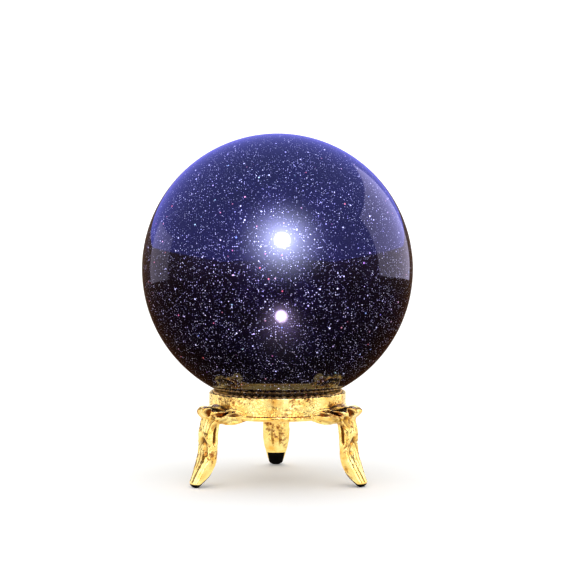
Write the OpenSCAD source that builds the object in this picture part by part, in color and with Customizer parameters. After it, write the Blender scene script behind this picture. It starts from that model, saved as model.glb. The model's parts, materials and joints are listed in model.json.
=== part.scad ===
// Polished goldstone sphere resting on a three-legged gilt brass stand.
// Origin: centre of the stand on the table plane. +Z is up, and one leg points along +Y.

/* [Sphere] */
// Diameter of the glass sphere
sphere_d = 80; // [40:1:120]

/* [Band] */
// Outside diameter of the band that carries the sphere
band_d = 40.6; // [32:0.2:60]
// Height of the band
band_h = 6.8; // [6.3:0.1:12]
// Wall of the band below its flange
band_wall = 1.6; // [1.2:0.1:2.4]
// Wall of the band above its flange, beside the beads
rim_wall = 0.95; // [0.6:0.05:1.2]
// Thickness of the flange that holds the beaded seat ring
flange_t = 1; // [0.6:0.1:1.6]
// How far the rolled lip at the bottom stands out from the band
lip_out = 0.5; // [0.2:0.05:1]
// Height of the rolled lip
lip_h = 1.5; // [1:0.1:2.4]

/* [Seat ring] */
// Diameter of one bead
bead_d = 1.8; // [1.2:0.05:2.6]
// Distance from one bead to the next
bead_pitch = 2.1; // [1.3:0.02:3]
// Diameter of the wire between beads
bead_wire_d = 1; // [0.5:0.1:1.4]
// How far the beads stand above the band's top edge
bead_proud = 0.4; // [0:0.05:1]

/* [Legs] */
// Height of the band's lower edge above the table
leg_h = 19.6; // [14:0.1:32]
// Thickness of a leg at the knee, measured away from the stand's axis
leg_t = 3.9; // [3:0.1:6]
// Width of a leg at the knee
leg_w = 8.6; // [6:0.1:11]
// How far the toe reaches out beyond the band
toe_out = 8.7; // [6:0.1:12]
// Thickness of the toe
toe_t = 2.9; // [2:0.1:4]
// Width of the toe
toe_w = 4.6; // [3.4:0.1:7]

/* [Leaf] */
// Length of the leaf along the band, from wing tip to wing tip
leaf_span = 23.5; // [18:0.5:28]
// Height of the leaf's top edge above the band's lower edge
leaf_rise = 4; // [3:0.1:5]
// How far the leaf's lobes stand out from the band
leaf_out = 5.8; // [4:0.1:8]
// Depth of the flutes between the lobes
flute_depth = 1.5; // [0.4:0.1:2]
// Flutes on each side of the midrib
flutes = 4; // [3:1:5]

/* [Soles] */
// Thickness of the rubber sole under each toe
sole_t = 1.1; // [0.7:0.1:1.4]
// Thickness of the sole at its upper end, on the inner side of the foot
sole_heel_t = 0.6; // [0.4:0.1:1]
// Height that the sole reaches up the inner side of the foot
sole_rise = 4.3; // [2.4:0.1:6]

/* [Screws] */
// Thread diameter of the screw that holds a leg
screw_d = 2; // [1.6:0.1:2.6]
// Length under the screw's head
screw_l = 4.4; // [3:0.1:5]
// Diameter of the screw's head
screw_head_d = 3.4; // [2.8:0.1:4]
// Height of the screw's head
screw_head_h = 1.2; // [0.8:0.1:1.6]

/* [Hidden] */
$fn = 96;

// Clearances
seat_gap = 0.05;    // sphere to beads
drop_in_gap = 0.1;  // seat ring to the band's wall
rest_gap = 0.05;    // seat ring to the flange
joint_gap = 0.03;   // leg to band, sole to leg
screw_gap = 0.1;    // screw to the band's hole
thread_gap = 0.02;  // screw to the leg's hole
tip_room = 0.3;     // beyond the screw's tip
eps = 0.01;

// Band
band_r = band_d / 2;
band_top = leg_h + band_h;
recess_r = band_r - rim_wall;
bead_r = bead_d / 2;
bead_ring_r = recess_r - drop_in_gap - bead_r;
bead_z = band_top + bead_proud - bead_r;
flange_z = bead_z - bead_r - rest_gap;
flange_r = bead_ring_r - bead_r * 1.25;
wall_r = band_r - band_wall;
lip_r = lip_h / 2;

// Seat ring: a whole number of beads at about the pitch asked for
bead_count = round(360 / (2 * asin(bead_pitch / 2 / bead_ring_r)));
bead_step = 360 / bead_count;
bead_link = 2 * bead_ring_r * sin(bead_step / 2);

// Sphere, resting on the beads
sphere_r = sphere_d / 2;
sphere_z = bead_z + sqrt(pow(sphere_r + bead_r + seat_gap, 2) - pow(bead_ring_r, 2));

// Screw, midway between the band's lower edge and its flange
screw_z = (leg_h + flange_z - flange_t) / 2;
screw_seat = sqrt(pow(wall_r, 2) - pow(screw_head_d / 2, 2));
slot_w = screw_head_d * 0.16;
slot_deep = screw_head_h * 0.5;

// Leg stations from knee to toe: [out from the band, height, half thickness, half width]
toe_tip_r = toe_t / 2;
shank_out = leg_t * 0.94;
stations = [
    [leg_t * 0.34, leg_h + leaf_rise * 0.80, leg_t * 0.22, leg_w * 0.36],
    [leg_t * 0.56, leg_h + leaf_rise * 0.15, leg_t * 0.46, leg_w * 0.48],
    [leg_t * 0.76, leg_h * 0.82, leg_t * 0.48, leg_w * 0.50],
    [leg_t * 0.82, leg_h * 0.60, leg_t * 0.48, leg_w * 0.49],
    [shank_out, leg_h * 0.40, leg_t * 0.56, leg_w * 0.46],
    [mix(shank_out, toe_out, 0.27), leg_h * 0.235, leg_t * 0.57, mix(leg_w, toe_w, 0.55) / 2],
    [mix(shank_out, toe_out, 0.56), leg_h * 0.125, mix(leg_t, toe_t, 0.3) / 2, mix(leg_w, toe_w, 0.82) / 2],
    [toe_out - toe_tip_r * 0.9, toe_tip_r * 0.86, toe_tip_r, toe_w / 2],
];
section_sides = 20;    // sides of a leg's cross-section
shank_power = 2.5;     // shape of the cross-section: 2 is an ellipse, and more is squarer
foot_power = 2;
foot_from = 4.6;       // station where the section begins to turn round
foot_span = 1.9;       // stations until it is fully round
rings_per_span = 4;    // rings from one station to the next
cap_rings = 5;         // rings that round off the toe
cap_length = toe_tip_r * 0.9;

// Leaf grid
leaf_half = leaf_span / 2 / band_r * 180 / PI;
leaf_steps = 12 * flutes;
leaf_rows = 10;
leaf_edge = 0.5;       // thickness at the wing tips
leaf_dip = 1.9;        // how far the wings hang below the band's lower edge

leg_turn = [90, 210, 330];

function mix(a, b, k) = a + (b - a) * k;

function clamp(x, low, high) = max(low, min(high, x));

function ease(x) = let (k = clamp(x, 0, 1)) k * k * (3 - 2 * k);

// A smooth curve through four stations, from the second to the third
function curve(p0, p1, p2, p3, k) =
    0.5 * (2 * p1 + (p2 - p0) * k + (2 * p0 - 5 * p1 + 4 * p2 - p3) * k * k
        + (3 * p1 - p0 - 3 * p2 + p3) * k * k * k);

last_station = len(stations) - 1;

function station(t) =
    let (
        i = clamp(floor(t), 0, last_station - 1),
        before = stations[max(i - 1, 0)],
        after = stations[min(i + 2, last_station)]
    )
    curve(before, stations[i], stations[i + 1], after, t - i);

// Direction of the leg's centreline, towards the toe
function heading(t) =
    let (
        a = station(clamp(t - 0.05, 0, last_station)),
        b = station(clamp(t + 0.05, 0, last_station)),
        d = [b[0] - a[0], b[1] - a[1]]
    )
    d / norm(d);

function rounded(x, power) = sign(x) * pow(abs(x), 2 / power);

// One cross-section of the leg, square to its centreline
function leg_ring(at, along, thick, wide, power) = [
    for (i = [0 : section_sides - 1])
        let (
            a = 360 * i / section_sides,
            across = thick * rounded(cos(a), power),
            side = -wide * rounded(sin(a), power)
        )
        [band_r + at[0] - along[1] * across, side, at[1] + along[0] * across]
];

leg_rings = [
    for (i = [0 : last_station * rings_per_span])
        let (
            t = i / rings_per_span,
            s = station(t),
            power = mix(shank_power, foot_power, ease((t - foot_from) / foot_span))
        )
        leg_ring(s, heading(t), s[2], s[3], power),
    for (i = [1 : cap_rings])
        let (
            k = i / (cap_rings + 0.4),
            s = stations[last_station],
            along = heading(last_station),
            shrink = sqrt(1 - k * k)
        )
        leg_ring([s[0], s[1]] + along * cap_length * k, along, s[2] * shrink, s[3] * shrink, foot_power)
];

// Closed skin over a list of rings, whose points pair up from the first and the last inwards
module skin(rings) {
    n = len(rings[0]);
    last = (len(rings) - 1) * n;
    points = [for (ring = rings) for (p = ring) p];
    sides = [
        for (j = [0 : n : last - n]) for (i = [0 : n - 1])
            let (a = j + i, b = j + (i + 1) % n)
            each [[a, a + n, b], [b, a + n, b + n]]
    ];
    caps = [
        for (i = [0 : n / 2 - 2])
            let (a = i, b = i + 1, c = n - 2 - i, d = n - 1 - i)
            each [[a, b, d], [b, c, d], [last + a, last + d, last + b], [last + b, last + d, last + c]]
    ];
    polyhedron(points, concat(sides, caps));
}

// Leaf outline and relief. x runs from 0 at the midrib to 1 at a wing tip, and s from 0 at the
// lower edge to 1 at the top.
function lobe(x) = (1 + cos(360 * flutes * x)) / 2;

function leaf_top(x) =
    leg_h + leaf_rise * (1 - 0.42 * pow(x, 2.2)) - 0.55 * (1 - lobe(x)) * (1 - 0.5 * x);

function leaf_low(x) =
    leg_h - leaf_dip * sin(180 * clamp(x, 0, 1)) * (1 - 0.3 * x) - 0.25 * (1 - x);

function leaf_bulge(x, s) =
    let (
        rim = leaf_edge + (leaf_out - leaf_edge) * (1 - pow(x, 1.6)),
        low = leaf_edge + (leg_t - leaf_edge) * (1 - pow(x, 1.2)),
        swell = mix(low, rim, ease((s - 0.15) / 0.5)),
        under = mix(0.55, 1, ease(s / 0.25)),
        over = mix(1, 0.72, ease((s - 0.72) / 0.28)),
        flute = flute_depth * (1 - lobe(x)) * ease((s - 0.3) / 0.4) * (1 - pow(x, 1.5))
    )
    max(swell * under * over - flute, leaf_edge * 0.6);

function leaf_row(s) = [
    for (i = [0 : leaf_steps])
        let (
            side = 2 * i / leaf_steps - 1,
            x = abs(side),
            turn = side * leaf_half,
            r = band_r + leaf_bulge(x, s)
        )
        [r * cos(turn), r * sin(turn), mix(leaf_low(x), leaf_top(x), s)],
    for (i = [leaf_steps : -1 : 0])
        let (
            side = 2 * i / leaf_steps - 1,
            turn = side * leaf_half,
            r = band_r + joint_gap
        )
        [r * cos(turn), r * sin(turn), mix(leaf_low(abs(side)), leaf_top(abs(side)), s)]
];

module leaf() skin([for (j = [0 : leaf_rows]) leaf_row(j / leaf_rows)]);

module band_profile(grow = 0) {
    // Wall, rolled lip and rounded top edge
    translate([wall_r - grow, leg_h - grow])
        square([band_wall + 2 * grow, flange_z - leg_h + 2 * grow]);
    translate([recess_r - grow, flange_z - flange_t])
        square([rim_wall + 2 * grow, band_top - rim_wall / 2 - flange_z + flange_t]);
    translate([band_r - rim_wall / 2, band_top - rim_wall / 2])
        circle(r = rim_wall / 2 + grow);
    translate([band_r + lip_out - lip_r, leg_h + lip_r])
        circle(r = lip_r + grow);
    // Flange under the beads
    translate([flange_r, flange_z - flange_t])
        square([recess_r - flange_r + eps, flange_t]);
}

// Line that parts the sole from the foot: level at the sole's top, then inside the underside
sole_from = 3.9;       // station above the sole's top
sole_steps = 16;

function under_foot(t) =
    let (
        s = station(t),
        along = heading(t),
        k = (t - sole_from) / (last_station - sole_from),
        inside = s[2] - mix(sole_heel_t, sole_t, k)
    )
    [band_r + s[0] + along[1] * inside, min(s[1] - along[0] * inside, sole_rise)];

sole_line = [for (i = [0 : sole_steps]) under_foot(mix(sole_from, last_station, i / sole_steps))];

// Everything below that line, as a prism across the leg
module below_sole_line(grow = 0) {
    start = sole_line[0];
    end = sole_line[sole_steps];
    reach = band_r + toe_out + toe_t;
    rotate([90, 0, 0])
        linear_extrude(height = leg_w * 2, center = true)
            polygon(concat(
                [for (p = sole_line) p + [0, grow]],
                [[reach, end[1] + grow], [reach, -toe_t]],
                [[start[0] - leg_t, -toe_t], [start[0] - leg_t, start[1] + grow]]
            ));
}

module leg_blank() {
    difference() {
        skin(leg_rings);
        translate([0, -leg_w, -leg_h]) cube([band_d * 2, leg_w * 2, leg_h]);
    }
}

module screw_hole(r, length) {
    translate([0, 0, screw_z]) rotate([0, 90, 0]) cylinder(r = r, h = length);
}

module leg() {
    difference() {
        union() {
            leg_blank();
            leaf();
        }
        rotate_extrude() translate([band_r + lip_out - lip_r, leg_h + lip_r]) circle(r = lip_r + joint_gap);
        below_sole_line(joint_gap);
        screw_hole(screw_d / 2 + thread_gap, screw_seat + screw_l + tip_room);
    }
}

module sole() {
    intersection() {
        leg_blank();
        below_sole_line();
    }
}

module band() {
    color("gold")
        difference() {
            rotate_extrude() band_profile();
            for (turn = leg_turn)
                rotate([0, 0, turn]) screw_hole(screw_d / 2 + screw_gap, band_d);
        }
}

module seat_ring() {
    color("goldenrod")
        for (i = [0 : bead_count - 1])
            rotate([0, 0, i * bead_step]) translate([bead_ring_r, 0, bead_z]) {
                sphere(r = bead_r, $fn = 32);
                rotate([-90, 0, bead_step / 2]) cylinder(d = bead_wire_d, h = bead_link, $fn = 24);
            }
}

module screw() {
    translate([screw_seat, 0, screw_z]) rotate([0, 90, 0]) {
        cylinder(d = screw_d, h = screw_l);
        difference() {
            translate([0, 0, -screw_head_h]) cylinder(d = screw_head_d, h = screw_head_h + eps);
            translate([-screw_head_d, -slot_w / 2, slot_deep - 2 * screw_head_h])
                cube([screw_head_d * 2, slot_w, screw_head_h]);
        }
    }
}

module ball() {
    color("midnightblue") translate([0, 0, sphere_z]) sphere(r = sphere_r, $fn = 200);
}

module leg_at(turn) color("gold") rotate([0, 0, turn]) leg();

module sole_at(turn) color("black") rotate([0, 0, turn]) sole();

module screw_at(turn) color("goldenrod") rotate([0, 0, turn]) screw();

ball();  // sphere
band();
seat_ring();
leg_at(leg_turn[0]);  // leg_back
leg_at(leg_turn[1]);  // leg_front_left
leg_at(leg_turn[2]);  // leg_front_right
sole_at(leg_turn[0]);  // sole_back
sole_at(leg_turn[1]);  // sole_front_left
sole_at(leg_turn[2]);  // sole_front_right
screw_at(leg_turn[0]);  // screw_back
screw_at(leg_turn[1]);  // screw_front_left
screw_at(leg_turn[2]);  // screw_front_right
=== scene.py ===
# %% [markdown]
# # A goldstone sphere on a three-legged gilt stand
# The real object is a polished ball of blue goldstone, a dark glass full of tiny mirror-like flecks. It
# only rests on a small cast stand: a round band with a beaded seat, on three curved legs with leaves at
# their knees. The solid model of every piece comes in first as a fixed frame, and each visible piece is
# then built in its place with finer relief. Working around a fixed frame means that nothing has to be
# fitted afterwards.

# %% Load the frame
import json
import math

import bmesh
import bpy
import numpy as np
from mathutils import Matrix, Vector, noise

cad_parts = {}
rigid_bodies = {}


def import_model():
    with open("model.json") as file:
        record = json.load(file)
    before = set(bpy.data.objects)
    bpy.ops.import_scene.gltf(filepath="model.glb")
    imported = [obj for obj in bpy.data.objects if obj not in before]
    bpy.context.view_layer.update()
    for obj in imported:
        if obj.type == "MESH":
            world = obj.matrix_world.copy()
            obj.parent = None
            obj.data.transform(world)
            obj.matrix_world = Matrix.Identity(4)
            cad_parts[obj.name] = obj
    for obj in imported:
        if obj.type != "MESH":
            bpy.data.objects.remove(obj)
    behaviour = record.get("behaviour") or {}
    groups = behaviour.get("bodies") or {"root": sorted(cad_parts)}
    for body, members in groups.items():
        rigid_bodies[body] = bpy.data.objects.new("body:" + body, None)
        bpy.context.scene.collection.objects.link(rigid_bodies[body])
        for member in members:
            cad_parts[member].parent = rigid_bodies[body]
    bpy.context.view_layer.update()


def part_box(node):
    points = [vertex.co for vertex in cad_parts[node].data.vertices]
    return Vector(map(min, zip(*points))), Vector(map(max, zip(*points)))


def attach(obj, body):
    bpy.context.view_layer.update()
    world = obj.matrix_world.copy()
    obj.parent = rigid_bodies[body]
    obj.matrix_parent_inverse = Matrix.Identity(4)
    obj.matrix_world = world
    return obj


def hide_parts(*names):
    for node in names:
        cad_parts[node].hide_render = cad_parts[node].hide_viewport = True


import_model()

MM = 0.001               # Blender works in metres here, and the object's sizes are given in millimetres

# %% [markdown]
# ## Camera
# The camera stands a little above the sphere's middle and about 40 cm away, with a short telephoto
# lens. A long lens from further off would flatten the stand's ring, and a wide one close by would swell
# the sphere. It is made before anything else, so that every later step can be judged through it.

# %% Camera
ball_low, ball_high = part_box("sphere")
ball_centre = (ball_low + ball_high) / 2
ball_radius = (ball_high.z - ball_low.z) / 2

camera_distance = 415 * MM
camera_height = 71.9 * MM
camera_turn = math.radians(-1.1)          # the stand is turned this little from facing the lens squarely
camera_aim = Vector((3.1 * MM, 0, ball_centre.z - 5.6 * MM))

turn_about_axis = Matrix.Rotation(camera_turn, 4, "Z")
camera = bpy.data.objects.new("camera", bpy.data.cameras.new("camera"))
camera.data.lens = 87.5
camera.data.clip_start = 0.01
camera.location = turn_about_axis @ Vector((0, -camera_distance, camera_height))
aim = turn_about_axis @ camera_aim
camera.rotation_euler = (aim - camera.location).to_track_quat("-Z", "Y").to_euler()
bpy.context.scene.collection.objects.link(camera)
bpy.context.scene.camera = camera
print("camera at", [round(value, 3) for value in camera.location])

# %% [markdown]
# ## Small helpers
# Meshes are made from lists of points and faces, or from a grid of points that closes on itself like a
# tube. A grid keeps its faces even, which matters on mirror-bright metal, because every uneven face
# shows in the reflections.

# %% Mesh helpers
def new_piece(name, points, faces, material=None):
    """A smooth-shaded mesh object, with its points in metres."""
    mesh = bpy.data.meshes.new(name)
    mesh.from_pydata([tuple(point) for point in points], [], [tuple(face) for face in faces])
    mesh.polygons.foreach_set("use_smooth", [True] * len(mesh.polygons))
    if material:
        mesh.materials.append(material)
    piece = bpy.data.objects.new(name, mesh)
    bpy.context.scene.collection.objects.link(piece)
    return piece


def grid_faces(rows, columns, close_rows=False, close_columns=False):
    """Quads between the points of a rows x columns grid, which may close on itself either way."""
    faces = []
    for row in range(rows if close_rows else rows - 1):
        for column in range(columns if close_columns else columns - 1):
            next_row, next_column = (row + 1) % rows, (column + 1) % columns
            faces.append((row * columns + column, row * columns + next_column,
                          next_row * columns + next_column, next_row * columns + column))
    return faces


def smooth_step(value, low=0.0, high=1.0):
    """0 below low, 1 above high, and an even S between them. It works on numbers and on arrays."""
    k = np.clip((np.asarray(value, float) - low) / (high - low), 0, 1)
    return k * k * (3 - 2 * k)


def bump(value, centre, width):
    """A soft bell that is 1 at the centre and near 0 beyond the width."""
    return np.exp(-((np.asarray(value, float) - centre) / width * 1.6) ** 2)


def finish_shape(piece):
    """Applies the piece's modifiers, so that what shows is the mesh itself."""
    result = bpy.data.meshes.new_from_object(piece.evaluated_get(bpy.context.evaluated_depsgraph_get()))
    piece.modifiers.clear()
    piece.data = result
    result.polygons.foreach_set("use_smooth", [True] * len(result.polygons))
    return piece


def face_outwards(piece):
    """Turns every face of a closed piece outwards."""
    shape = bmesh.new()
    shape.from_mesh(piece.data)
    bmesh.ops.recalc_face_normals(shape, faces=shape.faces)
    shape.to_mesh(piece.data)
    shape.free()


def cut(piece, steps):
    """Cuts a piece by other pieces, one after another. Each step is a tool and DIFFERENCE or INTERSECT."""
    for number, (tool, how) in enumerate(steps):
        knife = piece.modifiers.new(f"cut_{number}", "BOOLEAN")
        knife.object, knife.operation, knife.solver = tool, how, "EXACT"
    return finish_shape(piece)


def copy_of(piece, name):
    """A second object with its own copy of a piece's mesh."""
    twin = bpy.data.objects.new(name, piece.data.copy())
    bpy.context.scene.collection.objects.link(twin)
    return twin


def store_sunk(piece, values):
    """Keeps a number from 0 to 1 at every point of a piece, for its material to paint as brown shade."""
    layer = piece.data.attributes.new("sunk", "FLOAT", "POINT")
    layer.data.foreach_set("value", np.clip(values, 0, 1).astype(np.float32))


def box_tool(name, x_ends, y_ends, z_ends):
    """A closed block between two values on each axis, in mm, to cut other pieces with."""
    corners = [Vector((x, y, z)) * MM for x in x_ends for y in y_ends for z in z_ends]
    sides = [(0, 1, 3, 2), (4, 6, 7, 5), (0, 4, 5, 1), (2, 3, 7, 6), (0, 2, 6, 4), (1, 5, 7, 3)]
    tool = new_piece(name, corners, sides)
    face_outwards(tool)
    return tool


def report(piece):
    """Prints a piece's size in millimetres and how many faces it has."""
    low = np.array([v.co[:] for v in piece.data.vertices]).min(0) / MM
    high = np.array([v.co[:] for v in piece.data.vertices]).max(0) / MM
    print(f"{piece.name}: {len(piece.data.polygons)} faces, {(high - low).round(1).tolist()} mm")


# %% [markdown]
# ## Building materials
# A material is a small network of nodes. One function adds a node, sets it up and links its inputs, so
# each material below reads as a short recipe. Colours are written as the hex values that a paint chart
# would give and turned to the linear values that the renderer works in.

# %% Material helpers
def linear(hex_colour):
    """The linear RGBA of an sRGB hex colour."""
    values = [int(hex_colour[i:i + 2], 16) / 255 for i in (1, 3, 5)]
    return [v / 12.92 if v <= 0.04045 else ((v + 0.055) / 1.055) ** 2.4 for v in values] + [1.0]


def add(tree, kind, inputs=None, **settings):
    """Adds a node. inputs maps a socket's name or number to a value, or to the output socket that feeds it."""
    made = tree.nodes.new(kind)
    for name, value in settings.items():
        setattr(made, name, value)
    for name, value in (inputs or {}).items():
        if isinstance(value, bpy.types.NodeSocket):
            tree.links.new(value, made.inputs[name])
        else:
            made.inputs[name].default_value = value
    return made


def new_material(name, **shader_values):
    """A material with one Principled shader, and the shader's constant values set on its own sockets."""
    material = bpy.data.materials.new(name)
    material.use_nodes = True
    tree = material.node_tree
    tree.nodes.clear()
    shader = add(tree, "ShaderNodeBsdfPrincipled")
    for socket, value in shader_values.items():
        shader.inputs[socket.replace("_", " ")].default_value = value
    add(tree, "ShaderNodeOutputMaterial", {"Surface": shader.outputs["BSDF"]})
    place = add(tree, "ShaderNodeTexCoord").outputs["Object"]
    return material, tree, shader, place


def per_mm(size):
    """The texture scale that makes one unit of a pattern this many millimetres."""
    return 1 / (size * MM)


def fill_ramp(node, stops):
    """Gives a colour ramp its stops, each a position from 0 to 1 and a hex colour."""
    elements = node.color_ramp.elements
    while len(elements) < len(stops):
        elements.new(0.5)
    for element, (position, colour) in zip(elements, stops):
        element.position = position
        element.color = linear(colour)


print("white is", linear("#FFFFFF"))


# %% [markdown]
# ## Material: blue goldstone
# Goldstone is aventurine glass: molten glass in which metal crystals grow as it cools, then ground and
# polished to a ball. The eye sees three things. A clear mirror-like skin gives the sharp highlights.
# Below it millions of crystals, too small to tell apart, scatter a soft violet-blue sheen around each
# light. The few that face the right way stand out as sparks. So the recipe is a dark metallic body for
# the sheen, three sizes of flecks from cell patterns, and a clear coat on top.

# %% Flecks
goldstone, tree, shader, place = new_material(
    "polished_blue_goldstone", IOR=1.5, Coat_Weight=1.0, Coat_Roughness=0.012, Coat_IOR=1.5,
    Specular_Tint=linear("#34315C"))


def flecks(spacing, radius, rarity):
    """Scattered round flecks: how strongly each point shows one, and the cell's own random colour.
    Sizes are in mm. A higher rarity leaves more of the flecks too faint to see."""
    cells = add(tree, "ShaderNodeTexVoronoi", {"Vector": place, "Scale": per_mm(spacing)})
    dot = add(tree, "ShaderNodeMapRange", {"Value": cells.outputs["Distance"], "From Min": radius / spacing,
                                           "From Max": 0.6 * radius / spacing})
    chance = add(tree, "ShaderNodeSeparateColor", {"Color": cells.outputs["Color"]})
    bright = add(tree, "ShaderNodeMath", {0: chance.outputs["Red"], 1: rarity}, operation="POWER")
    shown = add(tree, "ShaderNodeMath", {0: dot.outputs["Result"], 1: bright.outputs["Value"]},
                operation="MULTIPLY")
    return shown.outputs["Value"], chance


# Real crystals are a few hundredths of a millimetre across. They are drawn several times larger, so that
# they show.
dust, _ = flecks(0.30, 0.10, 12.0)
glitter, glitter_random = flecks(0.58, 0.15, 4.2)
sparks, spark_random = flecks(2.3, 0.25, 0.5)
print("flecks: dust, glitter and sparks")

# %% [markdown]
# The crystals settle in faint clouds while the glass is molten, so the flecks are denser in some places
# than others. Most flash white or pale violet, and a few of the large ones flash red, blue or green.
# The body between them is made metallic, because a metal's blurred highlight is the sheen that the real
# crystals give together.

# %% Goldstone
clouds = add(tree, "ShaderNodeTexNoise", {"Vector": place, "Scale": per_mm(9), "Detail": 3.0, "Roughness": 0.6})
drift = add(tree, "ShaderNodeMapRange", {"Value": clouds.outputs["Fac"], "From Min": 0.35, "From Max": 0.68})
dense = add(tree, "ShaderNodeMapRange", {"Value": drift.outputs["Result"], "To Min": 0.55, "To Max": 1.0})

spark_tint = add(tree, "ShaderNodeValToRGB", {"Fac": spark_random.outputs["Green"]})
fill_ramp(spark_tint, [(0.0, "#F4F2FF"), (0.45, "#D9D4FF"), (0.62, "#F7B2C2"),
                       (0.75, "#F0605A"), (0.88, "#7C96FF"), (1.0, "#C6EFD8")])

fleck_tint = add(tree, "ShaderNodeMix",
                 {0: glitter_random.outputs["Blue"], 6: linear("#FFFFFF"), 7: linear("#CFC6FA")}, data_type="RGBA")
fine = add(tree, "ShaderNodeMath", {0: dust, 1: glitter}, operation="MAXIMUM")
fine_shown = add(tree, "ShaderNodeMath", {0: fine.outputs["Value"], 1: dense.outputs["Result"]},
                 operation="MULTIPLY")
body = add(tree, "ShaderNodeMix", {0: drift.outputs["Result"], 6: linear("#06040D"), 7: linear("#0F0B20")},
           data_type="RGBA")
with_fine = add(tree, "ShaderNodeMix",
                {0: fine_shown.outputs["Value"], 6: body.outputs[2], 7: fleck_tint.outputs[2]}, data_type="RGBA")
with_sparks = add(tree, "ShaderNodeMix", {0: sparks, 6: with_fine.outputs[2], 7: spark_tint.outputs["Color"]},
                  data_type="RGBA")
tree.links.new(with_sparks.outputs[2], shader.inputs["Base Color"])

any_fleck = add(tree, "ShaderNodeMath", {0: fine_shown.outputs["Value"], 1: sparks}, operation="MAXIMUM")
metal = add(tree, "ShaderNodeMapRange",
            {"Value": any_fleck.outputs["Value"], "From Max": 0.3, "To Min": 0.9, "To Max": 0.1})
gloss = add(tree, "ShaderNodeMapRange", {"Value": any_fleck.outputs["Value"], "To Min": 0.42, "To Max": 0.3})
tree.links.new(metal.outputs["Result"], shader.inputs["Metallic"])
tree.links.new(gloss.outputs["Result"], shader.inputs["Roughness"])
print("goldstone:", len(tree.nodes), "nodes")

# %% [markdown]
# ## Material: bright gilding on a casting
# The stand is cast metal, polished in a tumbling barrel and plated with a thin coat of gold. Plating
# follows every ripple of the casting, so the colour hardly changes but the reflections break up.
# Hollows and dents are painted a dark brown as shade, darker the deeper the skin lies, and ragged brown
# patches are painted in as the dark reflections of crinkled gilt. How far each point is sunk is worked out
# with the shape and kept on the mesh under the name "sunk", so that the painted shade lies exactly in the carving.

# %% Gilding
def gilding(name, bright, deep, grain, gloss_low, gloss_high, dark_reflection_strength):
    """Gilt metal: two golds, ragged brown patches painted as dark reflections, brown painted shade where the skin
    is sunk, and a fine grain in gloss and relief.
    """
    material, tree, shader, place = new_material(name, Metallic=1.0)
    tone = add(tree, "ShaderNodeTexNoise",
               {"Vector": place, "Scale": per_mm(3.2), "Detail": 4.0, "Roughness": 0.6})
    tone_range = add(tree, "ShaderNodeMapRange",
                     {"Value": tone.outputs["Fac"], "From Min": 0.38, "From Max": 0.66})
    gold = add(tree, "ShaderNodeMix", {0: tone_range.outputs["Result"], 6: linear(bright), 7: linear(deep)},
               data_type="RGBA")
    # painted dark reflections: ragged brown patches of a few mm, broken up by a finer mottle, stand in for the
    # dark room mirrored by crinkled gilt
    patches = add(tree, "ShaderNodeTexNoise",
                  {"Vector": place, "Scale": per_mm(7.0), "Detail": 2.0, "Roughness": 0.5})
    mottle = add(tree, "ShaderNodeTexNoise",
                 {"Vector": place, "Scale": per_mm(1.1), "Detail": 3.0, "Roughness": 0.65})
    where = add(tree, "ShaderNodeMapRange", {"Value": patches.outputs["Fac"], "From Min": 0.50, "From Max": 0.58})
    broken = add(tree, "ShaderNodeMapRange", {"Value": mottle.outputs["Fac"], "From Min": 0.46, "From Max": 0.62})
    both = add(tree, "ShaderNodeMath", {0: where.outputs["Result"], 1: broken.outputs["Result"]},
               operation="MULTIPLY")
    dark_reflection_patches = add(tree, "ShaderNodeMath", {0: both.outputs["Value"], 1: dark_reflection_strength}, operation="MULTIPLY")
    # painted dark reflections: the gold turns brown in the patches
    browned = add(tree, "ShaderNodeMix", {0: dark_reflection_patches.outputs["Value"], 6: gold.outputs[2], 7: linear("#82451A")},
                  data_type="RGBA")
    # painted shade: the hollows and dents turn dark brown by how deep the skin is sunk
    sunk = add(tree, "ShaderNodeAttribute", attribute_name="sunk")
    with_hollow_shade = add(tree, "ShaderNodeMix", {0: sunk.outputs["Fac"], 6: browned.outputs[2], 7: linear("#5C300E")},
               data_type="RGBA")
    tree.links.new(with_hollow_shade.outputs[2], shader.inputs["Base Color"])
    # grain: the fine orange peel that barrel polishing leaves, in gloss and in relief
    fine = add(tree, "ShaderNodeTexNoise",
               {"Vector": place, "Scale": per_mm(grain), "Detail": 3.0, "Roughness": 0.55})
    gloss = add(tree, "ShaderNodeMapRange", {"Value": fine.outputs["Fac"], "From Min": 0.3, "From Max": 0.7,
                                             "To Min": gloss_low, "To Max": gloss_high})
    tree.links.new(gloss.outputs["Result"], shader.inputs["Roughness"])
    relief = add(tree, "ShaderNodeBump", {"Height": fine.outputs["Fac"], "Strength": 0.25, "Distance": 0.05 * MM})
    tree.links.new(relief.outputs["Normal"], shader.inputs["Normal"])
    return material


gilt_band_metal = gilding("gilt_rolled_band", "#FFEFA6", "#EFC062", 0.45, 0.12, 0.25, 0.95)
gilt_leg_metal = gilding("gilt_cast_leg", "#FFEFA6", "#ECBE5E", 0.4, 0.12, 0.26, 0.95)
gilt_bead_metal = gilding("gilt_bead_wire", "#FFDF9E", "#E6AE5C", 0.3, 0.36, 0.5, 0.5)
print("gilding: band, legs and beads")

# %% [markdown]
# ## Material: black toe pads and turned brass
# The black pads under the toes are painted shade: dark pieces that stand in for the shadow and dark reflection
# under each foot, matt and nearly black with a fine grain. The screws are turned from plain brass, and handling
# leaves their gloss a little uneven.

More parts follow.
